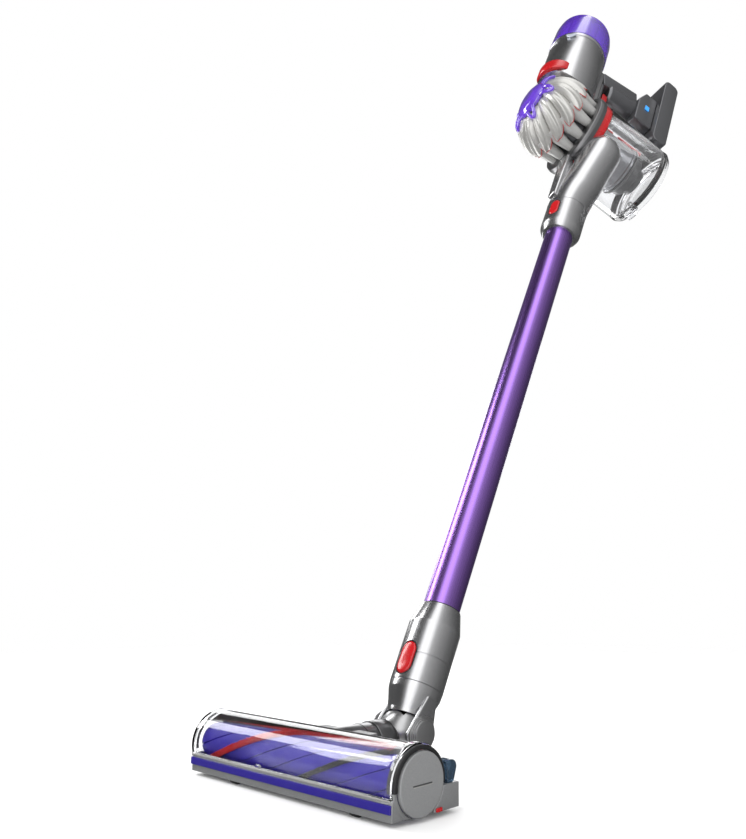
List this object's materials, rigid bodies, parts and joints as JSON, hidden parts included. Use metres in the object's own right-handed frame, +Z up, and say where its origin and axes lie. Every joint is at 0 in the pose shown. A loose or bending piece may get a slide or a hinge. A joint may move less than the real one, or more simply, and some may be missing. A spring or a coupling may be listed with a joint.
{
  "type": "cordless stick vacuum",
  "caption": "Cordless stick vacuum: powered brush head on a jointed neck, slim wand, and a hand unit with cyclones, clear bin, motor, grip and battery.",
  "frame": {"origin": "middle of the flat land of the head's sole behind the suction mouth, 3.5 mm above the floor", "axes": "+Z up, +X along the floor head to the end with the coin-slot cap, +Y back towards the user; the wand leans back and slightly to -X"},
  "size_m": [0.2472, 0.7236, 0.9914],
  "materials": {
    "grey_plastic": "satin metallic grey ABS",
    "silver_plastic": "metallic silver ABS",
    "dark_plastic": "dark grey satin ABS",
    "black_plastic": "black",
    "black_rubber": "black rubber",
    "cap_plastic": "satin grey",
    "pearl_plastic": "pearl grey",
    "cone_plastic": "grey",
    "violet_plastic": "violet",
    "brush_plastic": "blue violet",
    "violet_anodised": "violet anodised",
    "violet_clear": "translucent violet polycarbonate",
    "clear": "clear polycarbonate",
    "smoke_clear": "smoked polycarbonate",
    "red_plastic": "red",
    "red_bristle": "red nylon bristles",
    "black_bristle": "black bristles",
    "steel": "steel",
    "impeller_plastic": "grey nylon",
    "copper": "motor can",
    "filter_media": "pleated filter fleece",
    "filter_sock": "violet filter fleece",
    "slider_plastic": "light grey",
    "led_blue": "blue light pipe",
    "cell_wrap": "blue shrink wrap"
  },
  "bodies": {
    "hand_unit": {"neck_cone": "silver_plastic", "lower_collar": "silver_plastic", "wand_tube": "violet_anodised", "wand_conduit": "black_plastic", "inlet_duct": "silver_plastic", "motor_housing": "silver_plastic", "motor_can": "copper", "bin_wall": "clear", "mesh_shroud": "silver_plastic", "shroud_collar": "dark_plastic", "cyclone_cones": "cone_plastic", "cyclone_shroud": "pearl_plastic", "crown_ring": "dark_plastic", "red_ring": "red_plastic", "grip": "dark_plastic", "trigger_spring": "steel", "battery_case": "dark_plastic", "battery_cells": "cell_wrap", "battery_block": "dark_plastic", "led_window": "led_blue", "battery_screws": "steel", "lid_pin": "steel"},
    "swivel": {"barrel_tube": "dark_plastic", "barrel_ring": "dark_plastic", "knuckle_ball": "dark_plastic", "ribbed_bosses": "black_plastic", "pivot_pins": "steel"},
    "head": {"head_base": "grey_plastic", "comb_strip": "red_bristle", "bumper_strip": "violet_plastic", "brush_cover": "clear", "cover_seal": "black_rubber", "brush_motor": "steel", "axle_pins": "steel", "indicator_cover": "smoke_clear", "sole_latch": "red_plastic"},
    "brush_bar": {"brush_tube": "brush_plastic", "brush_hubs": "black_plastic", "drive_dog": "steel", "brush_bearing": "steel", "bristles_red": "red_bristle", "bristles_black": "black_bristle"},
    "end_cap": {"end_cap": "cap_plastic"},
    "roller_left": {"roller_left": "black_rubber"},
    "roller_right": {"roller_right": "black_rubber"},
    "wheel_left": {"wheel_left": "black_rubber"},
    "wheel_right": {"wheel_right": "black_rubber"},
    "wand_button": {"wand_button": "red_plastic"},
    "inlet_button": {"inlet_button": "red_plastic"},
    "impeller": {"impeller": "impeller_plastic"},
    "filter_cap": {"filter_cap": "violet_clear", "post_filter": "filter_media"},
    "mode_slider": {"mode_slider": "slider_plastic"},
    "bin_lever": {"bin_lever": "red_plastic"},
    "catch_rod": {"catch_rod": "red_plastic"},
    "bin_lid": {"bin_lid": "clear", "lid_seal": "black_rubber"},
    "prefilter": {"prefilter_cap": "violet_clear", "prefilter_sock": "filter_sock"},
    "trigger": {"trigger": "red_plastic"}
  },
  "joints": [
    {"name": "neck_pitch", "type": "hinge", "parent": "hand_unit", "child": "swivel", "pos_m": [0.0035, 0.0832, 0.0289], "axis": [1, 0, 0], "range_deg": [-28, 55]},
    {"name": "neck_swivel", "type": "hinge", "parent": "swivel", "child": "head", "pos_m": [0, 0.03, 0.0235], "axis": [0, 1, 0], "range_deg": [-60, 60]},
    {"name": "brush_spin", "type": "hinge", "parent": "head", "child": "brush_bar", "pos_m": [0, -0.02, 0.0212], "axis": [1, 0, 0], "continuous": true},
    {"name": "end_cap_turn", "type": "hinge", "parent": "head", "child": "end_cap", "pos_m": [0.12, -0.02, 0.0212], "axis": [1, 0, 0], "range_deg": [0, 60]},
    {"name": "roller_left_spin", "type": "hinge", "parent": "head", "child": "roller_left", "pos_m": [-0.064, -0.0395, 0.0003], "axis": [1, 0, 0], "continuous": true},
    {"name": "roller_right_spin", "type": "hinge", "parent": "head", "child": "roller_right", "pos_m": [0.08, -0.0395, 0.0003], "axis": [1, 0, 0], "continuous": true},
    {"name": "wheel_left_spin", "type": "hinge", "parent": "head", "child": "wheel_left", "pos_m": [-0.046, 0.01, 0.0025], "axis": [1, 0, 0], "continuous": true},
    {"name": "wheel_right_spin", "type": "hinge", "parent": "head", "child": "wheel_right", "pos_m": [0.046, 0.01, 0.0025], "axis": [1, 0, 0], "continuous": true},
    {"name": "wand_button_press", "type": "slide", "parent": "hand_unit", "child": "wand_button", "axis": [0, 0.8813, -0.4726], "range_m": [0, 0.0018], "stiffness_N_per_m": 900, "springref_m": -0.001},
    {"name": "inlet_button_press", "type": "slide", "parent": "hand_unit", "child": "inlet_button", "axis": [-0.0523, 0.8791, -0.4738], "range_m": [0, 0.0018], "stiffness_N_per_m": 900, "springref_m": -0.001},
    {"name": "impeller_spin", "type": "hinge", "parent": "hand_unit", "child": "impeller", "pos_m": [-0.05332, 0.46043, 0.85175], "axis": [-0.0401, 0.4722, 0.8806], "continuous": true},
    {"name": "filter_cap_twist", "type": "hinge", "parent": "hand_unit", "child": "filter_cap", "pos_m": [-0.05645, 0.49727, 0.92044], "axis": [-0.0401, 0.4722, 0.8806], "range_deg": [0, 40]},
    {"name": "mode_slide", "type": "hinge", "parent": "hand_unit", "child": "mode_slider", "pos_m": [-0.05613, 0.49349, 0.9134], "axis": [-0.0401, 0.4722, 0.8806], "range_deg": [0, 14]},
    {"name": "bin_lever_lift", "type": "slide", "parent": "hand_unit", "child": "bin_lever", "axis": [-0.0401, 0.4722, 0.8806], "range_m": [0, 0.012], "stiffness_N_per_m": 300, "springref_m": -0.002},
    {"name": "catch_rod_push", "type": "slide", "parent": "hand_unit", "child": "catch_rod", "axis": [0.3417, 0.8346, -0.432], "range_m": [0, 0.006]},
    {"name": "bin_lid_open", "type": "hinge", "parent": "hand_unit", "child": "bin_lid", "pos_m": [0.00511, 0.5279, 0.66835], "axis": [-0.9389, 0.2836, -0.1949], "range_deg": [0, 95]},
    {"name": "prefilter_pull", "type": "slide", "parent": "hand_unit", "child": "prefilter", "axis": [-0.3417, -0.8346, 0.432], "range_m": [0, 0.09]},
    {"name": "trigger_pull", "type": "slide", "parent": "hand_unit", "child": "trigger", "axis": [-0.3417, -0.8346, 0.432], "range_m": [0, 0.003], "stiffness_N_per_m": 600, "springref_m": -0.001}
  ],
  "couplings": [
    {"joint": "catch_rod_push", "follows": "bin_lever_lift", "ratio": 0.5}
  ]
}
